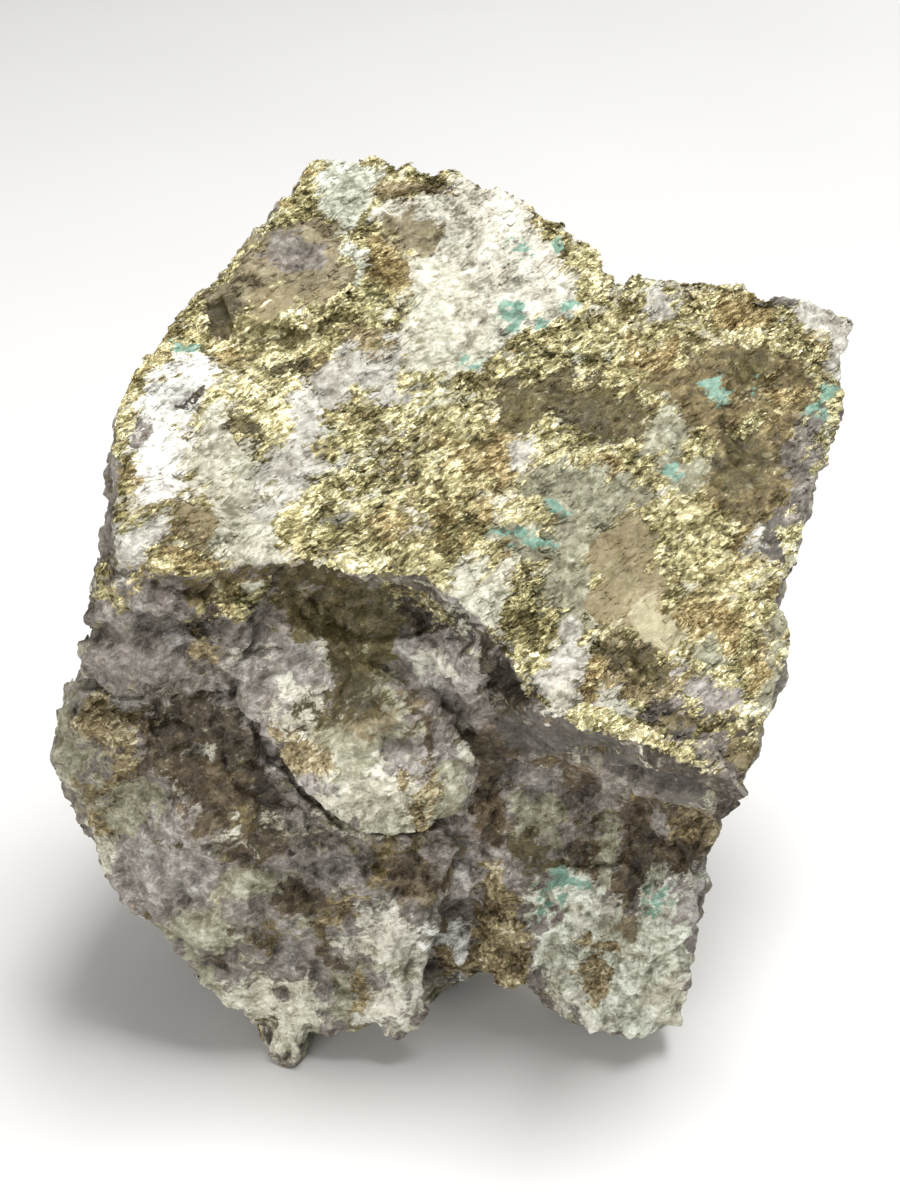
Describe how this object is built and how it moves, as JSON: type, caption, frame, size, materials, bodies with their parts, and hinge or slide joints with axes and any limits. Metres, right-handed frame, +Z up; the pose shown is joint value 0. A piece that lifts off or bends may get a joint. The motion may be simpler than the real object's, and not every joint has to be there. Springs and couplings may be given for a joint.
{
  "type": "chalcopyrite ore specimen",
  "caption": "Standing block of broken chalcopyrite and quartz ore with a tilted golden face, an overhanging ridge and a flat underside.",
  "frame": {"origin": "centre of the stone's box, on the ground it stands on", "axes": "+Z up, -Y towards the hollow front that the golden face leans over, +X to the right of someone facing it"},
  "size_m": [0.111, 0.0864, 0.1135],
  "materials": {
    "ore": "broken granular ore: brassy metallic grains among dull white and mauve quartz, with brown and olive tarnish"
  },
  "bodies": {
    "root": {"ore_block": "ore"}
  },
  "joints": []
}
